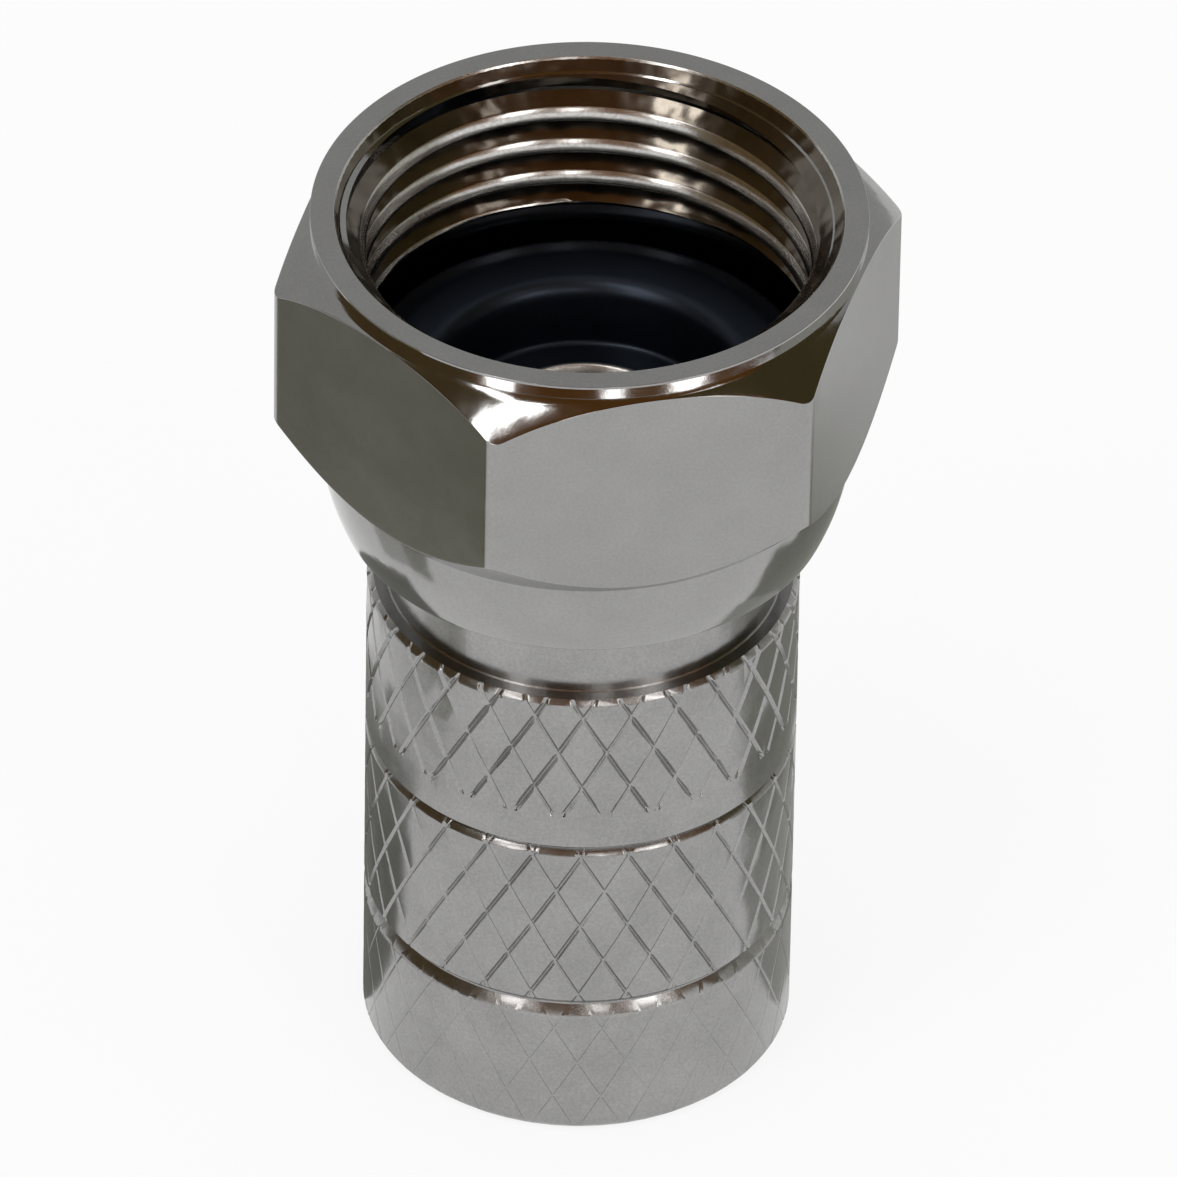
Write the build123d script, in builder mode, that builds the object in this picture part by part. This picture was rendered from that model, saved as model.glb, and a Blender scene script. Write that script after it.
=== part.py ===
from build123d import *
from math import degrees, pi, radians, tan
import os

# A twist-on coaxial plug for television cable, in millimetres. A loose hexagon
# nut with a screwed mouth turns on a flanged post, and the post is pressed
# into a knurled sleeve that grips the cable. The plug stands on its cable end:
# the origin is the centre of that end, and +Z points out of the nut's mouth.

# Port thread, 3/8 inch with 32 turns to the inch, drawn as a plain bore
thread_diameter = 9.525
thread_height = 0.39
thread_reach = 3.55
thread_relief = 0.06
thread_runout = 0.6

# Coupling nut, turned from hexagon bar
across_flats = 11.0
bar_corner_radius = 0.1
mouth_chamfer = 0.24
mouth_ring_inset = 0.04
mouth_ring_taper = 0.08
mouth_ring_height = 0.35
front_bevel_angle = 37
flat_height = 4.62
rear_bevel_angle = 48
bowl_wall = 0.47
bowl_height = 2.05
lip_thickness = 0.55
nut_floor_chamfer = 0.25

# Running gaps of the nut: round the post, and at each end of its lip
nut_running_gap = 0.05
nut_end_play = 0.05

# Knurled sleeve
cable_bore_diameter = 6.6
cable_entry_step = 0.2
cable_entry_depth = 3.7
cable_entry_chamfer = 0.35
barrel_wall = 1.0
barrel_length = 11.1
shoulder_chamfer = 0.12
cable_end_chamfer = 0.15
neck_wall = 1.17
neck_length = 1.8

# Two turned rings in the barrel, with their heights above the cable end
fine_ring_height = 7.28
fine_ring_width = 0.22
fine_ring_depth = 0.14
wide_ring_height = 3.2
wide_ring_width = 0.44
wide_ring_depth = 0.2

# Crossed knurl: spiral grooves of both hands in three bands, shallower
# towards the cable end, which line up as if they ran the whole length
knurl_starts = 28
knurl_angle = 28.5
knurl_groove_angle = 80
front_knurl_depth = 0.1
middle_knurl_depth = 0.08
rear_knurl_depth = 0.05
front_band_length = 2.93
knurl_overrun = 0.25

# Post: flange, journal for the nut, pressed stem and the tube under the braid
flange_clearance = 0.17
flange_thickness = 0.5
journal_step = 0.5
stem_diameter = 5.5
stem_length = 2.9
tube_bore_diameter = 3.7
tube_wall = 0.2
tail_length = 6.0
tip_height = 0.6
tip_chamfer = 0.08

# Rubber seal: a thin web on the flange, a step and a bead round its rim
seal_side_gap = 0.26
seal_height = 1.85
seal_bead_width = 0.75
seal_step_width = 0.25
seal_step_height = 0.95
seal_web_thickness = 0.35
seal_hole_gap = 0.03
seal_crown_chamfer = 0.22
seal_edge_chamfer = 0.08

# Radii that follow from the sizes above
thread_radius = thread_diameter / 2
flat_radius = across_flats / 2
mouth_radius = thread_radius + mouth_chamfer
ring_radius = flat_radius - mouth_ring_inset
relief_radius = thread_radius + thread_relief
bowl_radius = relief_radius + bowl_wall
cable_bore_radius = cable_bore_diameter / 2
cable_entry_radius = cable_bore_radius + cable_entry_step
barrel_radius = cable_bore_radius + barrel_wall
stem_radius = stem_diameter / 2
neck_radius = stem_radius + neck_wall
knurl_turn_rate = degrees(tan(radians(knurl_angle)) / barrel_radius)
journal_radius = stem_radius + journal_step
lip_bore_radius = journal_radius + nut_running_gap
flange_radius = thread_radius - thread_height - flange_clearance
tube_bore_radius = tube_bore_diameter / 2
tube_radius = tube_bore_radius + tube_wall
seal_radius = thread_radius - seal_side_gap
bead_inner_radius = seal_radius - seal_bead_width
step_inner_radius = bead_inner_radius - seal_step_width

# Heights that follow, from the cable end upwards
stem_low = barrel_length + neck_length - stem_length
tail_low = stem_low - tail_length
neck_high = barrel_length + neck_length
nut_low = neck_high + nut_end_play
lip_high = nut_low + lip_thickness
flange_low = lip_high + nut_end_play
flange_high = flange_low + flange_thickness
flat_low = nut_low + bowl_height
flat_high = flat_low + flat_height
ring_low = flat_high + mouth_ring_inset * tan(radians(front_bevel_angle))
nut_high = ring_low + mouth_ring_height
thread_low = nut_high - thread_reach
tip_high = flange_high + tip_height


def bevel_height(radius, flat_edge, angle):
    """Height of a bevel that crosses the middle of a flat at flat_edge."""
    return flat_edge + (radius - flat_radius) * tan(radians(angle))


def knurl_groove(low, high, depth, lefthand):
    """One spiral V groove of the knurl, as the solid that it takes out."""
    turn_height = 2 * pi * barrel_radius / tan(radians(knurl_angle))
    half_width = (depth + knurl_overrun) * tan(radians(knurl_groove_angle / 2))
    with BuildPart(mode=Mode.PRIVATE) as groove:
        with BuildLine(Plane.XY.offset(low)) as path:
            Helix(turn_height, high - low, barrel_radius, lefthand=lefthand)
        start = path.line @ 0
        heading = path.line % 0
        outward = Vector(start.X, start.Y, 0)
        with BuildSketch(Plane(start, x_dir=outward, z_dir=heading)) as section:
            with BuildLine():
                Polyline(
                    (-depth, 0),
                    (knurl_overrun, half_width),
                    (knurl_overrun, -half_width),
                    close=True,
                )
            make_face()
        sweep(section.sketch, path=path.line, is_frenet=True)
    return groove.part


# Coupling nut: hexagon bar cut back to the turned outline, then bored out. The
# outline runs out to a radius that is well clear of the bar's corners.
clear_radius = across_flats
with BuildPart() as coupling_nut:
    with BuildSketch(Plane.XY.offset(nut_low)) as bar:
        RegularPolygon(flat_radius, 6, major_radius=False)
        fillet(bar.vertices(), bar_corner_radius)
    extrude(amount=nut_high - nut_low)
    with BuildSketch(Plane.XZ) as turned_outline:
        with BuildLine():
            Polyline(
                (0, nut_high),
                (ring_radius - mouth_ring_taper, nut_high),
                (ring_radius, ring_low),
                (clear_radius, bevel_height(clear_radius, flat_high, -front_bevel_angle)),
                (clear_radius, bevel_height(clear_radius, flat_low, rear_bevel_angle)),
                (0, bevel_height(0, flat_low, rear_bevel_angle)),
                close=True,
            )
        make_face()
        with Locations((0, flat_low)):
            Circle(bowl_radius)
        with Locations((0, nut_low)):
            Rectangle(
                2 * clear_radius,
                2 * clear_radius,
                align=(Align.MIN, Align.MIN),
                mode=Mode.INTERSECT,
            )
    revolve(axis=Axis.Z, mode=Mode.INTERSECT)
    with BuildSketch(Plane.XZ) as bores:
        with BuildLine():
            Polyline(
                (0, nut_low),
                (lip_bore_radius, nut_low),
                (lip_bore_radius, lip_high),
                (relief_radius, lip_high),
                (relief_radius, thread_low - thread_runout),
                (thread_radius, thread_low),
                (thread_radius, nut_high - mouth_chamfer),
                (mouth_radius, nut_high),
                (0, nut_high),
                close=True,
            )
        make_face()
        floor_corners = bores.vertices().filter_by_position(Axis.Y, lip_high, lip_high)
        chamfer(floor_corners.sort_by(Axis.X)[-1], nut_floor_chamfer)
    revolve(axis=Axis.Z, mode=Mode.SUBTRACT)
coupling_nut.part.label = "coupling_nut"

# Sleeve: knurled barrel with a neck, bored for the cable and for the post
knurl_bands = [
    (barrel_length - front_band_length, barrel_length + knurl_overrun, front_knurl_depth),
    (wide_ring_height, fine_ring_height, middle_knurl_depth),
    (-knurl_overrun, wide_ring_height, rear_knurl_depth),
]
turned_rings = [
    (fine_ring_height, fine_ring_width, fine_ring_depth),
    (wide_ring_height, wide_ring_width, wide_ring_depth),
]
with BuildPart() as sleeve:
    with BuildSketch(Plane.XZ) as sleeve_section:
        with BuildLine():
            Polyline(
                (cable_entry_radius + cable_entry_chamfer, 0),
                (barrel_radius - cable_end_chamfer, 0),
                (barrel_radius, cable_end_chamfer),
                (barrel_radius, barrel_length - shoulder_chamfer),
                (barrel_radius - shoulder_chamfer, barrel_length),
                (neck_radius, barrel_length),
                (neck_radius, neck_high),
                (stem_radius, neck_high),
                (stem_radius, stem_low),
                (cable_bore_radius, stem_low),
                (cable_bore_radius, cable_entry_depth),
                (cable_entry_radius, cable_entry_depth),
                (cable_entry_radius, cable_entry_chamfer),
                close=True,
            )
        make_face()
    revolve(axis=Axis.Z)
    for band_low, band_high, depth in knurl_bands:
        for hand in (1, -1):
            turned_by = hand * band_low * knurl_turn_rate
            groove = knurl_groove(band_low, band_high, depth, lefthand=hand < 0)
            with PolarLocations(0, knurl_starts, start_angle=turned_by):
                add(groove, mode=Mode.SUBTRACT)
    with BuildSketch(Plane.XZ) as ring_grooves:
        for height, width, depth in turned_rings:
            with BuildLine():
                Polyline(
                    (barrel_radius - depth, height),
                    (barrel_radius + depth, height + width),
                    (barrel_radius + depth, height - width),
                    close=True,
                )
            make_face()
    revolve(axis=Axis.Z, mode=Mode.SUBTRACT)
sleeve.part.label = "sleeve"

# Post: one turned tube with a flange, a journal and a pressed stem
with BuildPart() as post:
    with BuildSketch(Plane.XZ) as post_section:
        with BuildLine():
            Polyline(
                (tube_bore_radius, tail_low),
                (tube_radius, tail_low),
                (tube_radius, stem_low),
                (stem_radius, stem_low),
                (stem_radius, neck_high),
                (journal_radius, neck_high),
                (journal_radius, flange_low),
                (flange_radius, flange_low),
                (flange_radius, flange_high),
                (tube_radius, flange_high),
                (tube_radius, tip_high - tip_chamfer),
                (tube_radius - tip_chamfer, tip_high),
                (tube_bore_radius, tip_high),
                close=True,
            )
        make_face()
    revolve(axis=Axis.Z)
post.part.label = "post"

# Seal: a moulded ring that lies on the flange, round the post's tip
with BuildPart() as seal:
    with BuildSketch(Plane.XZ) as seal_section:
        with BuildLine():
            Polyline(
                (tube_radius + seal_hole_gap, flange_high),
                (seal_radius, flange_high),
                (seal_radius, flange_high + seal_height),
                (bead_inner_radius, flange_high + seal_height),
                (bead_inner_radius, flange_high + seal_step_height),
                (step_inner_radius, flange_high + seal_step_height),
                (step_inner_radius, flange_high + seal_web_thickness),
                (tube_radius + seal_hole_gap, flange_high + seal_web_thickness),
                close=True,
            )
        make_face()
        chamfer(seal_section.vertices().group_by(Axis.Y)[-1], seal_crown_chamfer)
        step_corners = seal_section.vertices().filter_by_position(
            Axis.Y, flange_high + seal_step_height, flange_high + seal_step_height
        )
        chamfer(step_corners.sort_by(Axis.X)[0], seal_edge_chamfer)
    revolve(axis=Axis.Z)
seal.part.label = "seal"

os.makedirs("parts", exist_ok=True)
for piece in (coupling_nut, sleeve, post, seal):
    export_step(piece.part, f"parts/{piece.part.label}.step")
    size = piece.part.bounding_box().size
    print(piece.part.label, round(size.X, 3), round(size.Y, 3), round(size.Z, 3))
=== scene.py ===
"""The looks of a twist-on coaxial plug: nickel-plated nut, knurled sleeve, post and seal."""

import logging
import math
from dataclasses import dataclass
from enum import Enum
from typing import Callable, Sequence

import bmesh
import bpy
import numpy as np
from mathutils import Matrix, Vector

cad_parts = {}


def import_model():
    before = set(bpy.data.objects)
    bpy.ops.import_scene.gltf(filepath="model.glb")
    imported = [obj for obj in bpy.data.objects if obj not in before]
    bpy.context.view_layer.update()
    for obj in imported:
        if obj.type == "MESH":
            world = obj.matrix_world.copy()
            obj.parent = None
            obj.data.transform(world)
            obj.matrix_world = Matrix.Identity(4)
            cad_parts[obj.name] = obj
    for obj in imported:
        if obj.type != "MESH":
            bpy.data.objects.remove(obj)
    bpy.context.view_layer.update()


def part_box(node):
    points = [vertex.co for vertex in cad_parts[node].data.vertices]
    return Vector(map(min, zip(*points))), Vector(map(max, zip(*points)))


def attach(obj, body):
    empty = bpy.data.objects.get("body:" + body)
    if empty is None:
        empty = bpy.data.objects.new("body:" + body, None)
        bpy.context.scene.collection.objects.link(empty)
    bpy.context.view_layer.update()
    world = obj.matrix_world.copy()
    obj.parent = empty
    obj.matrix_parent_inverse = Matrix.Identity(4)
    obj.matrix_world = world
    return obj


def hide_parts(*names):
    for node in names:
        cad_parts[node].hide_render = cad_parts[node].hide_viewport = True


LOG = logging.getLogger("plug")
MM = 0.001
# The most of a side that the rounding of one corner takes up
CORNER_SHARE = 0.45
# The spans round a piece that is alike all round
PLAIN_SPANS = 144
# The angle that one flat of a hexagon takes up
SECTOR = math.pi / 3
# The gaps that the sleeve's skin closes: flat and cut in millimetres, rolled up in metres
FLAT_GAP = 1e-5
CUT_GAP = 1e-6
ROLLED_GAP = 1e-8
WHITE = (1.0, 1.0, 1.0, 1.0)

Point = tuple[float, float]
Place = tuple[float, float, float]
Section = list[Point]
Corner = tuple[Point, float]
Colour = tuple[float, float, float]


class Body(Enum):
    """The two bodies of the frame that pieces ride on."""

    SLEEVE_SIDE = "body"
    NUT = "nut"


class Lay(Enum):
    """The way the tool marks run on a machined surface."""

    ROUND = "round"
    NONE = "none"


# Mesh helpers


def rounded(corners: Sequence[Corner], steps: int = 4) -> Section:
    """Rounds the corners of a closed section.

    Args:
        corners: Each corner, as radius and height, with its rounding, 0 for a sharp one.
        steps: The number of spans in each rounded corner.

    Returns:
        The section with each rounded corner as steps + 1 points.
    """
    made: Section = []
    for index, (corner, radius) in enumerate(corners):
        if radius <= 0:
            made.append(corner)
            continue
        here = Vector(corner)
        before = Vector(corners[index - 1][0]) - here
        after = Vector(corners[(index + 1) % len(corners)][0]) - here
        half_angle = before.angle(after) / 2
        longest = CORNER_SHARE * min(before.length, after.length)
        reach = min(radius / math.tan(half_angle), longest)
        start = here + before.normalized() * reach
        end = here + after.normalized() * reach
        for step in range(steps + 1):
            share = step / steps
            # A quadratic arc through the corner's tangents is round enough at this size.
            point = start * (1 - share) ** 2 + here * 2 * share * (1 - share) + end * share**2
            made.append((point.x, point.y))
    return made


def arc(centre: Point, radius: float, first: float, last: float, steps: int) -> Section:
    """Points on a circular arc in a section.

    Args:
        centre: The circle's centre, as radius and height.
        radius: The circle's radius.
        first: The first point's angle from the outward direction, in radians.
        last: The last point's angle.
        steps: The number of spans.

    Returns:
        steps + 1 points.
    """
    angles = np.linspace(first, last, steps + 1)
    return [(centre[0] + radius * math.cos(a), centre[1] + radius * math.sin(a)) for a in angles]


def mesh_object(
    name: str, vertices: Sequence[Sequence[float]], faces: Sequence[Sequence[int]]
) -> bpy.types.Object:
    """Makes and links a mesh object.

    Args:
        name: The piece's name.
        vertices: The points, in metres.
        faces: The faces, as point numbers.

    Returns:
        The linked object.
    """
    mesh = bpy.data.meshes.new(name)
    mesh.from_pydata([tuple(v) for v in vertices], [], [tuple(f) for f in faces])
    mesh.validate()
    made = bpy.data.objects.new(name, mesh)
    bpy.context.scene.collection.objects.link(made)
    return made


def face_outwards(made: bpy.types.Object, sharp_angle: float) -> None:
    """Turns a closed mesh's normals outwards and shades it smooth up to an angle."""
    work = bmesh.new()
    work.from_mesh(made.data)
    bmesh.ops.recalc_face_normals(work, faces=work.faces)
    work.to_mesh(made.data)
    work.free()
    made.data.shade_smooth()
    made.data.set_sharp_from_angle(angle=math.radians(sharp_angle))


def turned(
    name: str,
    section_at: Callable[[float], Section],
    angles: Sequence[float],
    sharp_angle: float = 32.0,
) -> bpy.types.Object:
    """Makes a closed ring whose section may change as it goes round.

    Args:
        name: The piece's name.
        section_at: Gives the closed section at an angle, always with as many points.
        angles: The angles round the axis, in radians, in rising order.
        sharp_angle: Edges that bend more than this, in degrees, stay sharp.

    Returns:
        The linked object.
    """
    rings = [ring_points(section_at(angle), angle) for angle in angles]
    around, along = len(rings), len(rings[0])
    vertices = [place for ring in rings for place in ring]
    faces = []
    for i in range(around):
        j = (i + 1) % around
        for k in range(along):
            m = (k + 1) % along
            faces.append((i * along + k, j * along + k, j * along + m, i * along + m))
    made = mesh_object(name, vertices, faces)
    face_outwards(made, sharp_angle)
    return made


def ring_points(section: Section, angle: float) -> list[Place]:
    """A section's points in metres, turned to an angle round the axis."""
    return [(r * math.cos(angle) * MM, r * math.sin(angle) * MM, z * MM) for r, z in section]


def even_angles(count: int) -> list[float]:
    """Angles spread evenly round the axis."""
    return [2 * math.pi * i / count for i in range(count)]


@dataclass(frozen=True)
class SpiralRidge:
    """A right-hand thread ridge that stands inwards from a bore's wall. Sizes in millimetres.

    The two ends of the bore are chamfered at 45 degrees, which is what ends the ridge. The
    crest runs into the upper flank over facets that lean more and more.
    """

    name: str
    wall_radius: float
    crest_radius: float
    low: float
    high: float
    pitch: float
    crest_width: float
    root_width: float
    back_crest_height: float
    facets: int = 7
    facet_leans: tuple[float, float] = (18.0, 40.0)
    facet_start: float = 0.02
    flank_spans: int = 4
    sunk: float = 0.04
    overrun: float = 0.2
    end_gap: float = 0.01
    sharp_angle: float = 38.0
    steps_per_turn: int = 120

    def section(self, middle: float) -> Section:
        """The ridge's closed section where its middle line is at a height.

        Args:
            middle: The height of the middle line.

        Returns:
            The section's points, cut back by the chamfers at the ends.
        """
        root, crest, wall = self.root_width / 2, self.crest_width / 2, self.wall_radius
        profile = [(wall + self.sunk, -root), (wall, -root), (self.crest_radius, -crest)]
        radius, height = self.crest_radius, -crest + self.facet_start
        profile.append((radius, height))
        for lean in np.radians(np.linspace(*self.facet_leans, self.facets)):
            radius += math.tan(lean) * self.crest_width / self.facets
            height += self.crest_width / self.facets
            profile.append((radius, height))
        for share in np.linspace(0.0, 1.0, self.flank_spans + 1)[1:]:
            profile.append((radius + (wall - radius) * share, height + (root - height) * share))
        profile.append((wall + self.sunk, root))
        made = []
        for r, z in profile:
            height = min(max(middle + z, self.low - self.overrun), self.high + self.overrun)
            cone = wall + self.end_gap - min(self.high - height, height - self.low)
            made.append((max(r, cone), height))
        return made

    def build(self) -> bpy.types.Object:
        """Sweeps the ridge from one end of the bore to the other.

        Returns:
            The linked object.
        """
        first = self.low - self.root_width / 2
        last = self.high + self.root_width / 2
        count = int((last - first) / self.pitch * self.steps_per_turn)
        vertices: list[Place] = []
        for i in range(count + 1):
            middle = first + (last - first) * i / count
            angle = math.pi / 2 + 2 * math.pi * (middle - self.back_crest_height) / self.pitch
            vertices += ring_points(self.section(middle), angle)
        along = len(vertices) // (count + 1)
        faces: list[Sequence[int]] = []
        for i in range(count):
            for k in range(along):
                m = (k + 1) % along
                a, b = i * along, (i + 1) * along
                faces.append((a + k, b + k, b + m, a + m))
        faces += [range(along), range(count * along, (count + 1) * along)]
        made = mesh_object(self.name, vertices, faces)
        face_outwards(made, self.sharp_angle)
        return made


# Finishes


def noise(
    tree: bpy.types.NodeTree,
    place: bpy.types.NodeSocket,
    scale: float,
    detail: float,
    roughness: float = 0.6,
) -> bpy.types.NodeSocket:
    """Adds a noise texture.

    Args:
        tree: The material's node tree.
        place: The coordinates.
        scale: The noise's scale, per metre.
        detail: Its number of octaves.
        roughness: The strength of each octave beside the one before.

    Returns:
        The noise's value.
    """
    made = tree.nodes.new("ShaderNodeTexNoise")
    made.inputs["Scale"].default_value = scale
    made.inputs["Detail"].default_value = detail
    made.inputs["Roughness"].default_value = roughness
    tree.links.new(place, made.inputs["Vector"])
    return made.outputs["Fac"]


def two_tone(
    tree: bpy.types.NodeTree,
    value: bpy.types.NodeSocket,
    colour: Colour,
    ends: tuple[float, float],
    shades: tuple[float, float],
) -> bpy.types.NodeSocket:
    """Adds a ramp between a darker and a lighter shade of a colour.

    Args:
        tree: The material's node tree.
        value: The value that picks the shade.
        colour: The colour.
        ends: The values at the ramp's two ends.
        shades: What the colour is multiplied by at each end.

    Returns:
        The ramp's colour.
    """
    ramp = tree.nodes.new("ShaderNodeValToRGB")
    for stop, end, shade in zip(ramp.color_ramp.elements, ends, shades):
        stop.position = end
        stop.color = (*[c * shade for c in colour], 1.0)
    tree.links.new(value, ramp.inputs["Fac"])
    return ramp.outputs["Color"]


def bump(
    tree: bpy.types.NodeTree, height: bpy.types.NodeSocket, strength: float, distance: float
) -> bpy.types.Node:
    """Adds a bump.

    Args:
        tree: The material's node tree.
        height: The surface's height.
        strength: The bump's strength.
        distance: Its height in millimetres.

    Returns:
        The bump's node.
    """
    made = tree.nodes.new("ShaderNodeBump")
    made.inputs["Strength"].default_value = strength
    made.inputs["Distance"].default_value = distance * MM
    tree.links.new(height, made.inputs["Height"])
    return made


@dataclass(frozen=True)
class NickelPlate:
    """Nickel plate on turned brass, with fine grain, faint tool marks and a slightly wavy surface.

    Scales are per metre, and bump heights in millimetres.
    """

    name: str
    colour: Colour = (0.335, 0.333, 0.328)
    roughness: float = 0.11
    lay: Lay = Lay.ROUND
    mark_scale: float = 9000.0
    mark_stretch: float = 0.02
    mark_strength: float = 0.06
    mark_height: float = 0.01
    grain: float = 0.06
    grain_scale: float = 16000.0
    mottle: float = 0.05
    mottle_scale: float = 700.0
    waviness: float = 0.1
    wave_scale: float = 1500.0
    wave_height: float = 0.1
    tone_ends: tuple[float, float] = (0.3, 0.7)
    gloss_shares: tuple[float, float] = (0.8, 1.25)

    def build(self) -> bpy.types.Material:
        """Makes the node material.

        Returns:
            The material.
        """
        material = bpy.data.materials.new(self.name)
        material.use_nodes = True
        tree = material.node_tree
        nodes, links = tree.nodes, tree.links
        shader = nodes["Principled BSDF"]
        shader.inputs["Metallic"].default_value = 1.0
        place = nodes.new("ShaderNodeTexCoord").outputs["Object"]
        clouds = noise(tree, place, self.mottle_scale, detail=3.0)
        grain = noise(tree, place, self.grain_scale, detail=3.0)

        spread = self.grain + self.mottle
        weigh = nodes.new("ShaderNodeMix")
        weigh.data_type = "FLOAT"
        weigh.inputs["Factor"].default_value = self.grain / spread
        links.new(clouds, weigh.inputs["A"])
        links.new(grain, weigh.inputs["B"])
        shades = (1 - spread, 1 + spread)
        tone = two_tone(tree, weigh.outputs["Result"], self.colour, self.tone_ends, shades)
        links.new(tone, shader.inputs["Base Color"])

        gloss = nodes.new("ShaderNodeMapRange")
        for socket, share in zip(("To Min", "To Max"), self.gloss_shares):
            gloss.inputs[socket].default_value = self.roughness * share
        links.new(clouds, gloss.inputs["Value"])
        links.new(gloss.outputs["Result"], shader.inputs["Roughness"])

        waves = noise(tree, place, self.wave_scale, detail=1.0)
        wavy = bump(tree, waves, self.waviness, self.wave_height)
        height = grain
        if self.lay is Lay.ROUND:
            stretch = nodes.new("ShaderNodeMapping")
            long_way = self.mark_scale * self.mark_stretch
            stretch.inputs["Scale"].default_value = (long_way, long_way, self.mark_scale)
            links.new(place, stretch.inputs["Vector"])
            both = nodes.new("ShaderNodeMath")
            both.operation = "ADD"
            marks = noise(tree, stretch.outputs["Vector"], scale=1.0, detail=2.0)
            links.new(marks, both.inputs[0])
            links.new(grain, both.inputs[1])
            height = both.outputs["Value"]
        marked = bump(tree, height, self.mark_strength, self.mark_height)
        links.new(wavy.outputs["Normal"], marked.inputs["Normal"])
        links.new(marked.outputs["Normal"], shader.inputs["Normal"])
        return material


@dataclass(frozen=True)
class BlackRubber:
    """Smooth moulded black rubber with a faint blue sheen."""

    name: str
    colour: Colour = (0.0015, 0.002, 0.004)
    roughness: float = 0.36
    gloss_level: float = 0.7
    gloss_tint: Colour = (0.6, 0.75, 1.0)
    grain_scale: float = 1800.0
    grain_strength: float = 0.12
    grain_height: float = 0.01
    shades: tuple[float, float] = (0.7, 1.5)

    def build(self) -> bpy.types.Material:
        """Makes the node material.

        Returns:
            The material.
        """
        material = bpy.data.materials.new(self.name)
        material.use_nodes = True
        tree = material.node_tree
        shader = tree.nodes["Principled BSDF"]
        shader.inputs["Roughness"].default_value = self.roughness
        shader.inputs["Specular IOR Level"].default_value = self.gloss_level
        shader.inputs["Specular Tint"].default_value = (*self.gloss_tint, 1.0)
        place = tree.nodes.new("ShaderNodeTexCoord").outputs["Object"]
        grain = noise(tree, place, self.grain_scale, detail=4.0, roughness=0.5)
        tone = two_tone(tree, grain, self.colour, (0.0, 1.0), self.shades)
        tree.links.new(tone, shader.inputs["Base Color"])
        grainy = bump(tree, grain, self.grain_strength, self.grain_height)
        tree.links.new(grainy.outputs["Normal"], shader.inputs["Normal"])
        return material


@dataclass(frozen=True)
class StudioPaper:
    """The pale floor: white to the camera and in reflections, but it keeps the shadow.

    Each share tells how much of the paper's look is plain white to that kind of ray.
    """

    name: str
    colour: float = 0.9
    camera_share: float = 0.85
    reflected_share: float = 0.7

    def build(self) -> bpy.types.Material:
        """Makes the node material.

        Returns:
            The material.
        """
        material = bpy.data.materials.new(self.name)
        material.use_nodes = True
        nodes, links = material.node_tree.nodes, material.node_tree.links
        nodes.remove(nodes["Principled BSDF"])
        paper = nodes.new("ShaderNodeBsdfDiffuse")
        paper.inputs["Color"].default_value = (self.colour, self.colour, self.colour, 1.0)
        white = nodes.new("ShaderNodeEmission")
        white.inputs["Strength"].default_value = 1.0
        path = nodes.new("ShaderNodeLightPath")
        share: bpy.types.NodeSocket | None = None
        for ray, amount in (
            ("Is Camera Ray", self.camera_share),
            ("Is Glossy Ray", self.reflected_share),
            ("Is Transmission Ray", self.reflected_share),
        ):
            part = nodes.new("ShaderNodeMath")
            part.operation = "MULTIPLY_ADD"
            part.inputs[1].default_value = amount
            part.inputs[2].default_value = 0.0
            links.new(path.outputs[ray], part.inputs[0])
            if share is not None:
                links.new(share, part.inputs[2])
            share = part.outputs["Value"]
        mix = nodes.new("ShaderNodeMixShader")
        links.new(share, mix.inputs["Fac"])
        links.new(paper.outputs["BSDF"], mix.inputs[1])
        links.new(white.outputs["Emission"], mix.inputs[2])
        links.new(mix.outputs["Shader"], nodes["Material Output"].inputs["Surface"])
        return material


@dataclass(frozen=True)
class ReflectionCard:
    """A card of the studio's tent, seen only in the plug's gloss.

    Sizes in millimetres, angles in degrees.
    """

    name: str
    azimuths: tuple[float, float]
    elevations: tuple[float, float]
    tone: Colour
    radius: float = 260.0
    spans: int = 24

    def build(self, centre_height: float) -> bpy.types.Object:
        """Makes the card as a patch of a sphere round the plug.

        Args:
            centre_height: The sphere's centre above the floor.

        Returns:
            The card.
        """
        rows = []
        for azimuth in np.radians(np.linspace(*self.azimuths, self.spans + 1)):
            row = []
            for elevation in np.radians(np.linspace(*self.elevations, self.spans + 1)):
                flat = math.cos(elevation) * self.radius
                height = centre_height + math.sin(elevation) * self.radius
                row.append((math.sin(azimuth) * flat, -math.cos(azimuth) * flat, height))
            rows.append(row)
        return hung_card(self.name, rows, self.tone)


@dataclass(frozen=True)
class FloorCard:
    """A card that lies on the floor beside the plug, seen only in its gloss. Some are a painted
    shadow: they stand for the plug's own shadow on the floor.

    Sizes in millimetres, angles in degrees.
    """

    name: str
    azimuths: tuple[float, float]
    distances: tuple[float, float]
    tone: Colour
    height: float = 0.3
    spans: int = 24

    def build(self) -> bpy.types.Object:
        """Makes the card as a sector of a ring.

        Returns:
            The card.
        """
        rows = [
            [(math.sin(a) * far, -math.cos(a) * far, self.height) for far in self.distances]
            for a in np.radians(np.linspace(*self.azimuths, self.spans + 1))
        ]
        return hung_card(self.name, rows, self.tone)


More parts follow.
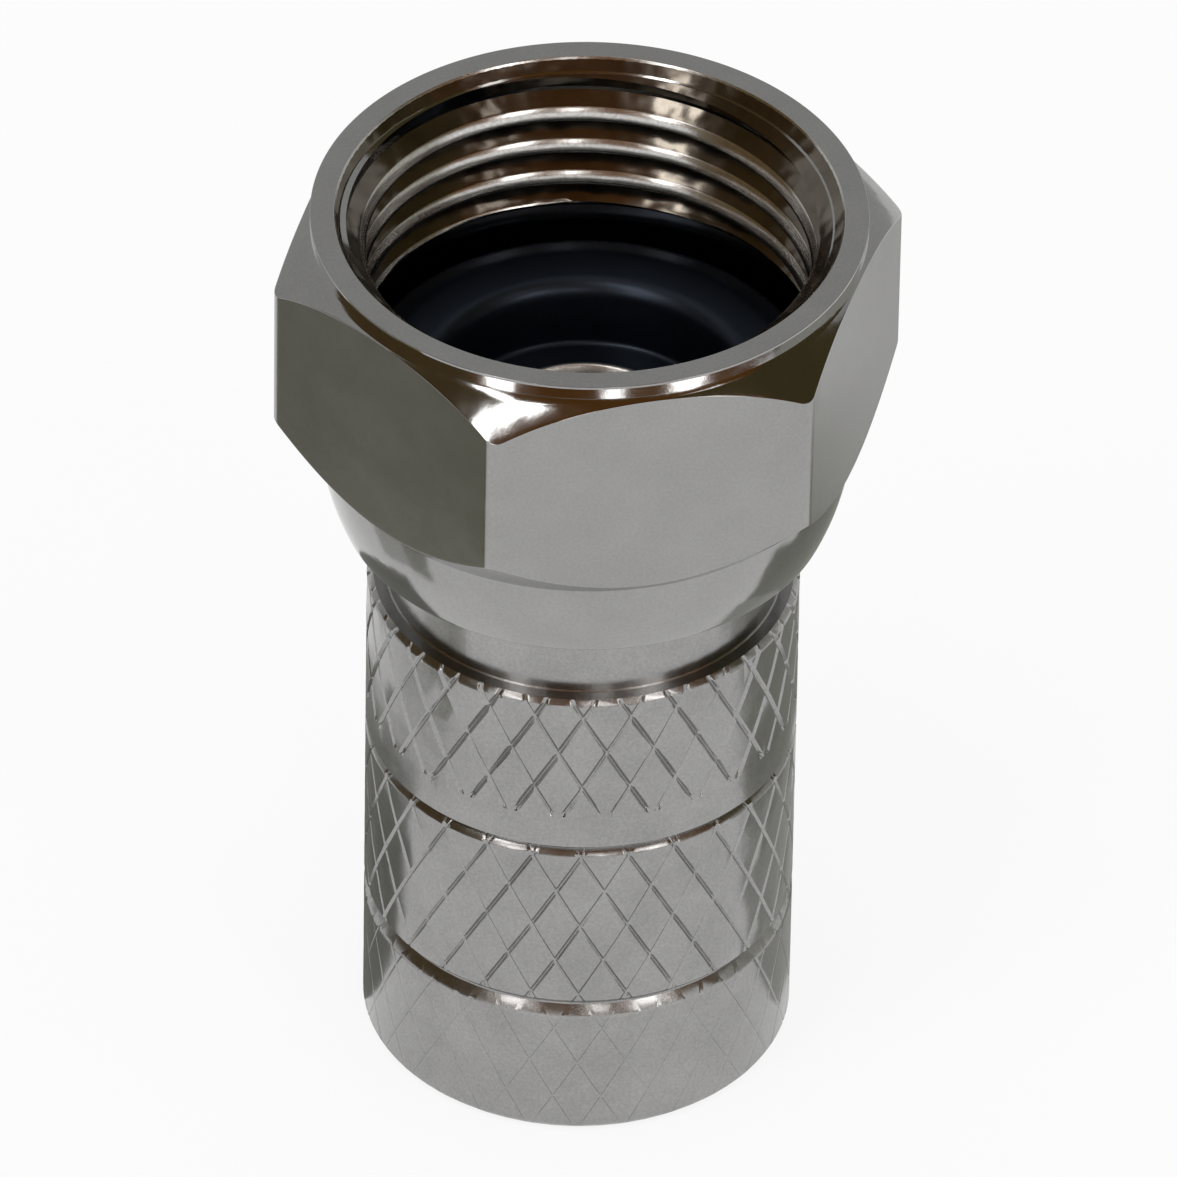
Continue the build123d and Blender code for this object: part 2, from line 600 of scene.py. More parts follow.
def hung_card(name: str, rows: Sequence[Sequence[Place]], tone: Colour) -> bpy.types.Object:
    """Makes a card with an even tone that only reflections see.

    Args:
        name: The card's name.
        rows: Its points in rows, in millimetres.
        tone: Its colour.

    Returns:
        The card.
    """
    wide = len(rows[0])
    vertices = [[c * MM for c in place] for row in rows for place in row]
    starts = [i * wide + k for i in range(len(rows) - 1) for k in range(wide - 1)]
    card = mesh_object(name, vertices, [(a, a + wide, a + wide + 1, a + 1) for a in starts])
    material = bpy.data.materials.new(name)
    material.use_nodes = True
    nodes, links = material.node_tree.nodes, material.node_tree.links
    nodes.remove(nodes["Principled BSDF"])
    glow = nodes.new("ShaderNodeEmission")
    glow.inputs["Color"].default_value = (*tone, 1.0)
    links.new(glow.outputs["Emission"], nodes["Material Output"].inputs["Surface"])
    card.data.materials.append(material)
    card.visible_camera = False
    card.visible_diffuse = False
    card.visible_shadow = False
    card.visible_transmission = False
    card.visible_volume_scatter = False
    return card


def finish_piece(
    made: bpy.types.Object, body: Body, slot: str, *finishes: bpy.types.Material
) -> None:
    """Gives a piece its finishes and its body."""
    for finish in finishes:
        made.data.materials.append(finish)
    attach(made, body.value)
    LOG.info("%s: %d faces, rides on %s", made.name, len(made.data.polygons), body.value)


# Sub-assemblies


@dataclass
class CouplingNut:
    """The hexagon nut with its turned bevels, bowl, lip and port thread. Sizes in millimetres."""

    low: float
    high: float
    flat_radius: float
    bar_corner_radius: float = 0.38
    lip_bore_radius: float = 3.3
    lip_thickness: float = 0.55
    relief_radius: float = 4.8225
    thread_radius: float = 4.7625
    thread_crest_radius: float = 4.37
    thread_pitch: float = 0.79375
    thread_reach: float = 3.55
    thread_runout: float = 0.6
    thread_back_crest: float = 18.24
    thread_crest_width: float = 0.22
    thread_root_share: float = 0.9
    thread_wear_highlight_height: float = 0.14
    mouth_chamfer: float = 0.24
    mouth_step: float = 0.14
    mouth_step_width: float = 0.13
    mouth_lip_width: float = 0.03
    mouth_lip_round: float = 0.021
    ring_inset: float = 0.03
    ring_round: float = 0.015
    land_marks: int = 3
    land_rise: float = 0.97
    land_lean: float = 0.75
    land_margin: float = 0.05
    bevel_start: float = 0.41
    bevel_slope: float = 0.56
    bevel_curve: float = 0.24
    rear_bevel: float = 48.0
    bowl_radius: float = 5.2925
    bowl_height: float = 2.05
    floor_round: float = 0.25
    edge_round: float = 0.03
    edge_hold: float = 0.06
    flat_spans: int = 27
    corner_spans: int = 6
    corner_clear: float = 1.12
    bevel_spans: int = 6
    bowl_spans: int = 22
    flat_tilt: float = 0.05
    flat_share: float = 0.998

    def hexagon_radius(self, angle: float) -> float:
        """The bar's radius at an angle, with its long corners rounded.

        Args:
            angle: The angle round the axis, in radians.

        Returns:
            The radius in millimetres.
        """
        from_flat = (angle + math.pi / 2 + SECTOR / 2) % SECTOR - SECTOR / 2
        flat = self.flat_radius / math.cos(from_flat)
        centre = (self.flat_radius - self.bar_corner_radius) / math.cos(SECTOR / 2)
        off = SECTOR / 2 - abs(from_flat)
        if off >= self.corner_span():
            return flat
        side = centre * math.sin(off)
        return centre * math.cos(off) + math.sqrt(self.bar_corner_radius**2 - side**2)

    def corner_span(self) -> float:
        """Half the angle that a rounded long corner takes up, in radians."""
        centre = (self.flat_radius - self.bar_corner_radius) / math.cos(SECTOR / 2)
        reach = self.bar_corner_radius
        return math.atan2(reach * math.sin(SECTOR / 2), centre + reach * math.cos(SECTOR / 2))

    def bevel_height(self, radius: float) -> float:
        """The height of the convex front bevel at a radius, in millimetres."""
        out = radius - self.flat_radius
        return self.high - self.bevel_start - self.bevel_slope * out - self.bevel_curve * out * out

    def angles(self) -> list[float]:
        """Angles round the nut, closer together at the hexagon's corners."""
        span = self.corner_span()
        flat_zone = np.linspace(0.0, SECTOR / 2 - self.corner_clear * span, self.flat_spans + 1)
        corner_zone = np.linspace(SECTOR / 2 - span, SECTOR / 2, self.corner_spans + 1)
        half = [*flat_zone, *corner_zone]
        one = [*half, *[SECTOR - a for a in reversed(half[1:-1])]]
        return [-math.pi / 2 + SECTOR * i + a for i in range(6) for a in one]

    def section(self, angle: float) -> Section:
        """The nut's closed section at an angle.

        Args:
            angle: The angle round the axis, in radians.

        Returns:
            The section's points, from the lip round the outside to the mouth and back inside.
        """
        bar = self.hexagon_radius(angle)
        ring_radius = self.flat_radius - self.ring_inset
        ring_low = self.bevel_height(ring_radius)
        fall = math.tan(math.radians(self.rear_bevel))
        flat_low = self.low + self.bowl_height
        rear_edge = flat_low + (bar - self.flat_radius) * fall
        # The rear bevel's cone meets the bowl's sphere at this radius.
        square = 1 + fall * fall
        product = fall * fall * self.flat_radius
        rest = fall * fall * self.flat_radius**2 - self.bowl_radius**2
        meet = (product + math.sqrt(product * product - square * rest)) / square
        meet_angle = math.atan2((meet - self.flat_radius) * fall, meet)
        rear_angle = -math.asin(self.bowl_height / self.bowl_radius)
        bowl = arc((0.0, flat_low), self.bowl_radius, rear_angle, meet_angle, self.bowl_spans)
        lip_high = self.low + self.lip_thickness
        thread_low = self.high - self.thread_reach
        mouth_radius = self.thread_radius + self.mouth_chamfer
        fine, hold = self.edge_round, self.edge_hold
        front_edge = self.bevel_height(bar)
        bevel_radii = np.linspace(bar, ring_radius, self.bevel_spans + 1)[1:-1]
        bevel = [(radius, self.bevel_height(radius)) for radius in bevel_radii]
        land = []
        tooth = (self.high - ring_low - self.land_margin) / self.land_marks
        for mark in range(self.land_marks):
            foot = ring_low + tooth * mark
            land.append((ring_radius - tooth * self.land_lean, foot + tooth * self.land_rise))
            land.append((ring_radius, foot + tooth))
        corners: list[Corner] = [
            ((self.lip_bore_radius, self.low), fine),
            (bowl[0], fine),
            *[(point, 0.0) for point in bowl[1:]],
            ((bar, rear_edge), fine),
            ((bar, rear_edge + hold), 0.0),
            ((bar, front_edge - hold), 0.0),
            ((bar, front_edge), fine),
            *[(point, 0.0) for point in bevel],
            ((ring_radius, ring_low), 0.0),
            *[(point, 0.0) for point in land],
            ((ring_radius, self.high), self.ring_round),
            ((ring_radius - hold, self.high), 0.0),
            ((mouth_radius + self.mouth_lip_width, self.high), 0.0),
            ((mouth_radius, self.high), self.mouth_lip_round),
            ((self.thread_radius + self.mouth_step_width, self.high - self.mouth_step), fine),
            ((self.thread_radius, self.high - self.mouth_chamfer), 0.0),
            ((self.thread_radius, thread_low), 0.0),
            ((self.relief_radius, thread_low - self.thread_runout), 0.0),
            ((self.relief_radius, lip_high), self.floor_round),
            ((self.lip_bore_radius, lip_high), fine),
        ]
        return rounded(corners)

    def build(
        self,
        turned_plate: bpy.types.Material,
        bar_plate: bpy.types.Material,
        thread_shade_plate: bpy.types.Material,
        wear_and_highlight_plate: bpy.types.Material,
    ) -> None:
        """Builds the nut and its thread, and puts them on the nut's body.

        Args:
            turned_plate: The finish of turned faces.
            bar_plate: The finish of the hexagon's flats.
            thread_shade_plate: The finish of the thread's flanks: the nickel in a darker, browner
                colour, which is painted shade.
            wear_and_highlight_plate: The lighter finish of the thread's crests and the mouth's lip:
                partly worn plate, partly a painted highlight.
        """
        shell = turned("nut_shell", self.section, self.angles())
        finish_piece(shell, Body.NUT, "nut_plate", turned_plate, bar_plate, wear_and_highlight_plate)
        lip_low = (self.high - self.mouth_step) * MM
        inside = (self.thread_radius + self.mouth_chamfer) * MM
        outside = self.flat_radius * MM * self.flat_share
        # Flats take the bar's finish. Faces at the mouth's lip take the lighter finish, which is
        # partly wear and partly a painted highlight.
        for face in shell.data.polygons:
            from_axis = math.hypot(face.center.x, face.center.y)
            if abs(face.normal.z) < self.flat_tilt and from_axis > outside:
                face.material_index = 1
            elif from_axis < inside and face.center.z > lip_low:
                face.material_index = 2
        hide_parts("coupling_nut")
        thread = SpiralRidge(
            "port_thread",
            wall_radius=self.thread_radius,
            crest_radius=self.thread_crest_radius,
            low=self.high - self.thread_reach,
            high=self.high - self.mouth_chamfer,
            pitch=self.thread_pitch,
            crest_width=self.thread_crest_width,
            root_width=self.thread_pitch * self.thread_root_share,
            back_crest_height=self.thread_back_crest,
        ).build()
        finish_piece(thread, Body.NUT, "nut_plate", thread_shade_plate, wear_and_highlight_plate)
        # Crest faces take the lighter finish: partly wear, partly a painted highlight.
        crest = (self.thread_crest_radius + self.thread_wear_highlight_height) * MM
        for face in thread.data.polygons:
            if math.hypot(face.center.x, face.center.y) < crest:
                face.material_index = 1


@dataclass(frozen=True)
class KnurlBand:
    """One band of the crossed knurl, with its groove depth. Sizes in millimetres."""

    low: float
    high: float
    depth: float


@dataclass
class Sleeve:
    """The knurled barrel with its neck, bores and inner grip thread. Sizes in millimetres.

    A turned ring is its height, width and depth.
    """

    high: float
    barrel_radius: float
    barrel_length: float = 11.1
    shoulder_chamfer: float = 0.12
    cable_end_chamfer: float = 0.15
    neck_radius: float = 3.92
    stem_radius: float = 2.75
    stem_length: float = 2.9
    cable_bore_radius: float = 3.3
    cable_entry_radius: float = 3.5
    cable_entry_depth: float = 3.7
    cable_entry_chamfer: float = 0.35
    bore_margin: float = 0.05
    grip_crest_radius: float = 3.02
    grip_pitch: float = 1.6
    grip_crest_width: float = 0.12
    grip_root_width: float = 0.6
    grip_low_gap: float = 0.1
    grip_high_gap: float = 0.3
    grip_back_crest: float = 4.7
    edge_round: float = 0.025
    neck_round: float = 0.03
    sharp_angle: float = 24.0
    knurl_starts: int = 28
    knurl_angle: float = 28.5
    groove_angle: float = 80.0
    groove_floor: float = 0.012
    groove_floor_share: float = 0.4
    groove_run_out: float = 0.08
    wear: float = 0.2
    wear_turns: tuple[int, int] = (31, 13)
    wear_rises: tuple[float, float] = (5.1, 4.3)
    fine_ring: tuple[float, float, float] = (7.28, 0.22, 0.14)
    wide_ring: tuple[float, float, float] = (3.2, 0.44, 0.2)
    ring_lip_share: float = 0.3
    ring_floor_share: float = 0.1
    ring_floor_depth: float = 0.93
    bands: tuple[KnurlBand, ...] = (
        KnurlBand(8.17, 11.4, 0.085),
        KnurlBand(3.2, 7.28, 0.06),
        KnurlBand(-0.3, 3.2, 0.022),
    )

    def outline(self) -> tuple[np.ndarray, np.ndarray]:
        """The barrel's outline without the knurl.

        Returns:
            Rising heights, and the radius at each.
        """
        radius, soft = self.barrel_radius, self.edge_round
        rows = [
            (0.0, radius - self.cable_end_chamfer),
            (self.cable_end_chamfer - soft, radius - soft),
            (self.cable_end_chamfer + soft, radius),
        ]
        for height, width, depth in (self.wide_ring, self.fine_ring):
            half = width / 2
            lip = min(soft, half * self.ring_lip_share)
            side = [
                (half + lip, radius),
                (half - lip, radius - depth * lip / half),
                (half * self.ring_floor_share, radius - depth * self.ring_floor_depth),
            ]
            rows += [(height - off, at) for off, at in side]
            rows += [(height + off, at) for off, at in reversed(side)]
        top = self.barrel_length
        rows += [
            (top - self.shoulder_chamfer - soft, radius),
            (top - self.shoulder_chamfer + soft, radius - soft),
            (top, radius - self.shoulder_chamfer),
        ]
        heights, radii = zip(*rows)
        return np.array(heights), np.array(radii)

    def groove_depth(self, along: float, height: float) -> float:
        """How deep the knurl is at a point of the unrolled barrel.

        Args:
            along: The distance round the barrel, in millimetres.
            height: The height above the cable end.

        Returns:
            The depth in millimetres.
        """
        band = next((b for b in self.bands if b.low <= height <= b.high), None)
        if band is None:
            return 0.0
        step = 2 * math.pi * self.barrel_radius / self.knurl_starts
        lean = math.tan(math.radians(self.knurl_angle))
        slope = math.tan(math.radians(self.groove_angle / 2))
        depth = 0.0
        angle = along / self.barrel_radius
        (turns, cross_turns), (rises, cross_rises) = self.wear_turns, self.wear_rises
        for hand in (-1, 1):
            # Two crossed waves make some places of each groove shallower, as if worn.
            wave = math.sin(turns * angle + rises * hand * height)
            cross_wave = math.sin(cross_turns * angle - cross_rises * height)
            left = 1 - self.wear + self.wear * wave * cross_wave
            off = (along + hand * height * lean) / step
            off = abs(off - round(off)) * step * math.cos(math.radians(self.knurl_angle))
            rounded_off = math.hypot(off, self.groove_floor) - self.groove_floor
            depth = max(depth, band.depth * left - rounded_off / slope)
        end = min(1.0, max(0.0, (height - band.low) / self.groove_run_out))
        return max(0.0, depth) * end

    def knurled_skin(self) -> bmesh.types.BMesh:
        """The barrel's outer skin, unrolled, cut to its rows and rolled up.

        Returns:
            The skin as an open mesh, in metres.
        """
        step = 2 * math.pi * self.barrel_radius / self.knurl_starts
        rise = step / math.tan(math.radians(self.knurl_angle))
        slope = math.tan(math.radians(self.groove_angle / 2))
        across = math.cos(math.radians(self.knurl_angle))
        halves = [b.depth * slope / across / step for b in self.bands]
        # A cell's grid lines: its grooves' middles, floors and edges, and its own middle
        marks = [0.0, halves[-1] * self.groove_floor_share, *halves, 0.5]
        marks = sorted({round(m, 6) for m in marks} | {round(1 - m, 6) for m in marks})
        skin = bmesh.new()
        for level in range(-2, int(2 * self.barrel_length / rise) + 3):
            for turn in range(self.knurl_starts):
                # A point (u, v) is (u + v) / 2 steps round the barrel and (u - v) / 2 rises up.
                grid = [
                    [
                        skin.verts.new(((u + v) * step / 2, (u - v) * rise / 2, 0.0))
                        for v in (turn + mark for mark in marks)
                    ]
                    for u in (turn + level + mark for mark in marks)
                ]
                for near, far in zip(grid, grid[1:]):
                    for j in range(len(marks) - 1):
                        skin.faces.new((near[j], far[j], far[j + 1], near[j + 1]))
        heights, radii = self.outline()
        ends = [band.low + off for band in self.bands for off in (0.0, self.groove_run_out)]
        cuts = sorted({*heights.tolist(), *[e for e in ends if 0 < e < self.barrel_length]})
        bmesh.ops.remove_doubles(skin, verts=skin.verts, dist=FLAT_GAP)
        for height in cuts:
            bmesh.ops.bisect_plane(
                skin,
                geom=[*skin.verts, *skin.edges, *skin.faces],
                dist=CUT_GAP,
                plane_co=(0.0, height, 0.0),
                plane_no=(0.0, 1.0, 0.0),
                clear_inner=height == cuts[0],
                clear_outer=height == cuts[-1],
            )
        for vert in skin.verts:
            along, height, _ = vert.co
            nominal = self.barrel_radius - self.groove_depth(along, height)
            radius = min(float(np.interp(height, heights, radii)), nominal)
            angle = along / self.barrel_radius
            vert.co = (radius * math.cos(angle) * MM, radius * math.sin(angle) * MM, height * MM)
        bmesh.ops.remove_doubles(skin, verts=skin.verts, dist=ROLLED_GAP)
        return skin

    @staticmethod
    def draw_ring(
        skin: bmesh.types.BMesh, edges: list[bmesh.types.BMEdge], radius: float, height: float
    ) -> list[bmesh.types.BMEdge]:
        """Extends an open edge of the skin to a round ring.

        Args:
            skin: The mesh that is extended.
            edges: The open edge.
            radius: The new ring's radius, in millimetres.
            height: The new ring's height.

        Returns:
            The new open edge.
        """
        made = bmesh.ops.extrude_edge_only(skin, edges=edges)["geom"]
        for vert in (g for g in made if isinstance(g, bmesh.types.BMVert)):
            scale = radius * MM / math.hypot(vert.co.x, vert.co.y)
            vert.co = (vert.co.x * scale, vert.co.y * scale, height * MM)
        return [g for g in made if isinstance(g, bmesh.types.BMEdge)]

    def build(self, knurl_plate: bpy.types.Material, bore_plate: bpy.types.Material) -> None:
        """Builds the sleeve and its grip thread, and puts them on the sleeve's body.

        Args:
            knurl_plate: The finish of the outside.
            bore_plate: The finish of the bores.
        """
        skin = self.knurled_skin()
        open_edges = [e for e in skin.edges if e.is_boundary]
        middle = self.barrel_length * MM / 2
        top = [e for e in open_edges if e.verts[0].co.z > middle]
        bottom = [e for e in open_edges if e.verts[0].co.z <= middle]
        soft, shoulder = self.neck_round, self.barrel_length
        for radius, height in (
            (self.neck_radius + soft, shoulder),
            (self.neck_radius, shoulder + soft),
            (self.neck_radius, self.high - soft),
            (self.neck_radius - soft, self.high),
            (self.stem_radius, self.high),
            (self.stem_radius, self.high - self.stem_length),
            (self.cable_bore_radius, self.high - self.stem_length),
            (self.cable_bore_radius, self.cable_entry_depth),
            (self.cable_entry_radius, self.cable_entry_depth),
            (self.cable_entry_radius, self.cable_entry_chamfer),
            (self.cable_entry_radius + self.cable_entry_chamfer, 0.0),
        ):
            top = self.draw_ring(skin, top, radius, height)
        bmesh.ops.bridge_loops(skin, edges=[*top, *bottom])
        mesh = bpy.data.meshes.new("knurled_sleeve")
        skin.to_mesh(mesh)
        skin.free()
        shell = bpy.data.objects.new("knurled_sleeve", mesh)
        bpy.context.scene.collection.objects.link(shell)
        face_outwards(shell, self.sharp_angle)
        finish_piece(shell, Body.SLEEVE_SIDE, "sleeve_plate", knurl_plate, bore_plate)
        inside = (self.cable_entry_radius + self.bore_margin) * MM
        for face in shell.data.polygons:
            if math.hypot(face.center.x, face.center.y) < inside:
                face.material_index = 1
        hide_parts("sleeve")
        grip = SpiralRidge(
            "grip_thread",
            wall_radius=self.cable_bore_radius,
            crest_radius=self.grip_crest_radius,
            low=self.cable_entry_depth + self.grip_low_gap,
            high=self.high - self.stem_length - self.grip_high_gap,
            pitch=self.grip_pitch,
            crest_width=self.grip_crest_width,
            root_width=self.grip_root_width,
            back_crest_height=self.grip_back_crest,
        ).build()
        finish_piece(grip, Body.SLEEVE_SIDE, "sleeve_plate", bore_plate)


@dataclass
class Post:
    """The flanged tube that holds the nut on the sleeve. Sizes in millimetres."""

    low: float
    high: float
    flange_radius: float
    tube_bore_radius: float = 1.85
    tube_radius: float = 2.05
    stem_radius: float = 2.75
    stem_length: float = 2.9
    tail_length: float = 6.0
    journal_radius: float = 3.25
    journal_length: float = 0.65
    flange_thickness: float = 0.5
    countersink_width: float = 0.1
    countersink_depth: float = 0.14
    edge_round: float = 0.05
    fine_round: float = 0.03
    stem_round: float = 0.06
    tail_round: float = 0.08

    def section(self, _angle: float) -> Section:
        """The post's closed section, alike all round."""
        stem_low = self.low + self.tail_length
        neck_high = stem_low + self.stem_length
        flange_low = neck_high + self.journal_length
        flange_high = flange_low + self.flange_thickness
        fine, soft = self.fine_round, self.edge_round
        corners = [
            ((self.tube_bore_radius, self.low), fine),
            ((self.tube_radius, self.low), self.tail_round),
            ((self.tube_radius, stem_low), 0.0),
            ((self.stem_radius, stem_low), self.stem_round),
            ((self.stem_radius, neck_high), 0.0),
            ((self.journal_radius, neck_high), fine),
            ((self.journal_radius, flange_low), 0.0),
            ((self.flange_radius, flange_low), soft),
            ((self.flange_radius, flange_high), soft),
            ((self.tube_radius, flange_high), fine),
            ((self.tube_radius, self.high), soft),
            ((self.tube_bore_radius + self.countersink_width, self.high), self.stem_round),
            ((self.tube_bore_radius, self.high - self.countersink_depth), soft),
        ]
        return rounded(corners)

    def build(self, plate: bpy.types.Material) -> None:
        """Builds the post on the sleeve's body.

        Args:
            plate: The post's finish, a lighter nickel whose lightness is a painted highlight on the
                tip.
        """
        tube = turned("post_tube", self.section, even_angles(PLAIN_SPANS))
        finish_piece(tube, Body.SLEEVE_SIDE, "post_plate", plate)
        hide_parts("post")


@dataclass
class Seal:
    """The moulded rubber ring on the post's flange. Sizes in millimetres."""

    low: float
    high: float
    radius: float
    hole_radius: float = 2.08
    bead_width: float = 1.45
    crown_inset: float = 0.5
    outer_fall: float = 0.04
    inner_fall: float = 0.2
    step_width: float = 0.1
    web_thickness: float = 0.35
    seat_round: float = 0.08
    outer_round: float = 0.3
    crown_round: float = 0.8
    inner_round: float = 0.5
    step_round: float = 0.15
    hole_round: float = 0.05
    round_steps: int = 8
    sharp_angle: float = 50.0

    def section(self, _angle: float) -> Section:
        """The seal's closed section, alike all round."""
        inner = self.radius - self.bead_width
        step = inner - self.step_width
        corners = [
            ((self.hole_radius, self.low), 0.0),
            ((self.radius, self.low), self.seat_round),
            ((self.radius, self.high - self.outer_fall), self.outer_round),
            ((self.radius - self.crown_inset, self.high), self.crown_round),
            ((inner, self.high - self.inner_fall), self.inner_round),
            ((step, self.low + self.web_thickness), self.step_round),
            ((self.hole_radius, self.low + self.web_thickness), self.hole_round),
        ]
        return rounded(corners, self.round_steps)

    def build(self, rubber: bpy.types.Material) -> None:
        """Builds the seal on the sleeve's body.

        Args:
            rubber: The seal's finish.
        """
        angles = even_angles(PLAIN_SPANS)
        ring = turned("rubber_seal", self.section, angles, self.sharp_angle)
        finish_piece(ring, Body.SLEEVE_SIDE, "seal_rubber", rubber)
        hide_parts("seal")


# Studio


@dataclass
class Studio:
    """The floor, the soft light and the camera. Sizes in millimetres, angles in degrees."""

    camera_distance: float = 394.0
    camera_azimuth: float = -13.5
    camera_elevation: float = 39.27
    camera_roll: float = 1.01
    aim_height: float = 10.515
    aim_right: float = 0.107
    photo_width: float = 1177.0
    focal_pixels: float = 19850.0
    sensor_width: float = 36.0
    clip_start: float = 10.0
    clip_end: float = 10000.0
    floor_width: float = 1600.0
    world_level: float = 0.75
    panel_distance: float = 240.0

    def direction(self, azimuth: float, elevation: float) -> Vector:
        """The unit vector from the plug towards an azimuth and elevation."""
        a, e = math.radians(azimuth), math.radians(elevation)
        return Vector((math.sin(a) * math.cos(e), -math.cos(a) * math.cos(e), math.sin(e)))

    def build_floor(self, paper: bpy.types.Material) -> None:
        """Lays the floor that the plug stands on."""
        half = self.floor_width * MM / 2
        floor = mesh_object(
            "floor",
            [(-half, -half, 0.0), (half, -half, 0.0), (half, half, 0.0), (-half, half, 0.0)],
            [(0, 1, 2, 3)],
        )
        floor.data.materials.append(paper)
        LOG.info("floor: %.0f mm wide", self.floor_width)

    def build_world(self) -> None:
        """Sets an even surround: grey as a light, white to the camera and in reflections."""
        world = bpy.data.worlds.new("surround")
        bpy.context.scene.world = world
        world.use_nodes = True
        nodes, links = world.node_tree.nodes, world.node_tree.links
        soft = nodes["Background"]
        soft.inputs["Color"].default_value = WHITE
        soft.inputs["Strength"].default_value = self.world_level
        white = nodes.new("ShaderNodeBackground")
        white.inputs["Color"].default_value = WHITE
        white.inputs["Strength"].default_value = 1.0
        path = nodes.new("ShaderNodeLightPath")
        mix = nodes.new("ShaderNodeMixShader")
        links.new(path.outputs["Is Diffuse Ray"], mix.inputs["Fac"])
        links.new(white.outputs["Background"], mix.inputs[1])
        links.new(soft.outputs["Background"], mix.inputs[2])
        links.new(mix.outputs["Shader"], nodes["World Output"].inputs["Surface"])

    def add_panel(
        self, name: str, azimuth: float, elevation: float, size: tuple[float, float], level: float
    ) -> None:
        """Hangs one soft light that faces the plug.

        Args:
            name: The light's name.
            azimuth: Its azimuth from the plug.
            elevation: Its elevation from the plug.
            size: Its width and height.
            level: How bright it looks, where 1 is white.
        """
        light = bpy.data.lights.new(name, "AREA")
        light.shape = "RECTANGLE"
        light.size, light.size_y = size[0] * MM, size[1] * MM
        area = size[0] * size[1] * MM * MM
        light.energy = level * math.pi * area
        holder = bpy.data.objects.new(name, light)
        towards = self.direction(azimuth, elevation)
        middle = Vector((0.0, 0.0, self.aim_height * MM))
        holder.location = middle + towards * self.panel_distance * MM
        holder.rotation_mode = "QUATERNION"
        holder.rotation_quaternion = towards.to_track_quat("Z", "Y")
        bpy.context.scene.collection.objects.link(holder)
        LOG.info("light %s at %.0f, %.0f", name, azimuth, elevation)

    def build_camera(self) -> None:
        """Sets the camera at the photograph's angle, roll and framing."""
        back = self.direction(self.camera_azimuth, self.camera_elevation)
        level_right = Vector((-back.y, back.x, 0.0)).normalized()
        level_up = back.cross(level_right)
        roll = math.radians(self.camera_roll)
        right = level_right * math.cos(roll) + level_up * math.sin(roll)
        up = level_up * math.cos(roll) - level_right * math.sin(roll)
        target = Vector((0.0, 0.0, self.aim_height * MM)) + level_right * self.aim_right * MM
        camera = bpy.data.cameras.new("camera")
        camera.sensor_width = self.sensor_width
        camera.lens = self.focal_pixels / self.photo_width * self.sensor_width
        camera.clip_start = self.clip_start * MM
        camera.clip_end = self.clip_end * MM
        holder = bpy.data.objects.new("camera", camera)
        place = target + back * self.camera_distance * MM
        turn = Matrix((right, up, back)).transposed().to_4x4()
        holder.matrix_world = Matrix.Translation(place) @ turn
        bpy.context.scene.collection.objects.link(holder)
        bpy.context.scene.camera = holder
        LOG.info("camera: lens %.0f mm at %.0f mm", camera.lens, self.camera_distance)

    def build(self) -> None:
        """Builds the whole studio."""
        self.build_camera()
        self.build_floor(StudioPaper("studio_paper").build())
        self.build_world()
        for card in (
            ReflectionCard("front_ceiling_card", (-60.0, 62.0), (27.0, 88.0), (0.15, 0.062, 0.012)),
            ReflectionCard("left_ceiling_card", (-122.0, -60.0), (9.0, 88.0), (0.1, 0.065, 0.025)),
            ReflectionCard("right_ceiling_card", (62.0, 108.0), (25.0, 88.0), (0.09, 0.07, 0.03)),
            ReflectionCard("right_wall_card", (62.0, 108.0), (4.0, 25.0), (0.5, 0.5, 0.46)),
            ReflectionCard("back_card", (108.0, 238.0), (2.0, 88.0), (0.52, 0.52, 0.51)),
        ):
            card.build(self.aim_height)
        # Floor cards seen only in the gloss. The ones on the plug's right and the one close on its
        # left are a painted shadow: they stand for the plug's own shadow on the floor.
        for card in (
            FloorCard("left_edge_card", (-90.0, -79.0), (19.5, 60.0), (0.12, 0.12, 0.04)),
            FloorCard("left_floor_card", (-120.0, -90.0), (20.0, 60.0), (0.25, 0.245, 0.2)),
            FloorCard("left_middle_card", (-90.0, -79.0), (14.5, 19.5), (0.41, 0.41, 0.38)),
            FloorCard("left_side_card", (-108.0, -90.0), (15.0, 20.0), (0.58, 0.58, 0.56)),
            FloorCard("near_left_painted_shadow_card", (-182.0, -98.0), (4.31, 13.0), (0.21, 0.21, 0.19), 0.05),
            FloorCard("right_painted_shadow_card", (70.0, 138.0), (10.5, 18.0), (0.3, 0.3, 0.27)),
            FloorCard("right_far_card", (84.0, 117.0), (18.0, 24.5), (0.26, 0.26, 0.22)),
            FloorCard("right_rear_card", (117.0, 140.0), (18.0, 32.0), (0.55, 0.55, 0.54)),
            FloorCard("near_right_painted_shadow_card", (66.0, 122.0), (4.6, 10.5), (0.42, 0.42, 0.4)),
        ):
            card.build()
        self.add_panel("left_panel", -60.0, 62.0, (28.0, 124.0), 7.0)
        self.add_panel("right_panel", 50.0, 58.0, (20.0, 60.0), 2.5)
        self.add_panel("low_left_panel", -48.0, 38.0, (36.0, 60.0), 5.0)
        self.add_panel("low_middle_panel", -2.0, 38.0, (26.0, 60.0), 4.0)
        self.add_panel("low_right_panel", 27.0, 38.0, (44.0, 60.0), 5.0)


def corners(box: tuple[Vector, Vector]) -> list[list[float]]:
    """A box's two corners as plain lists."""
    return [list(box[0]), list(box[1])]


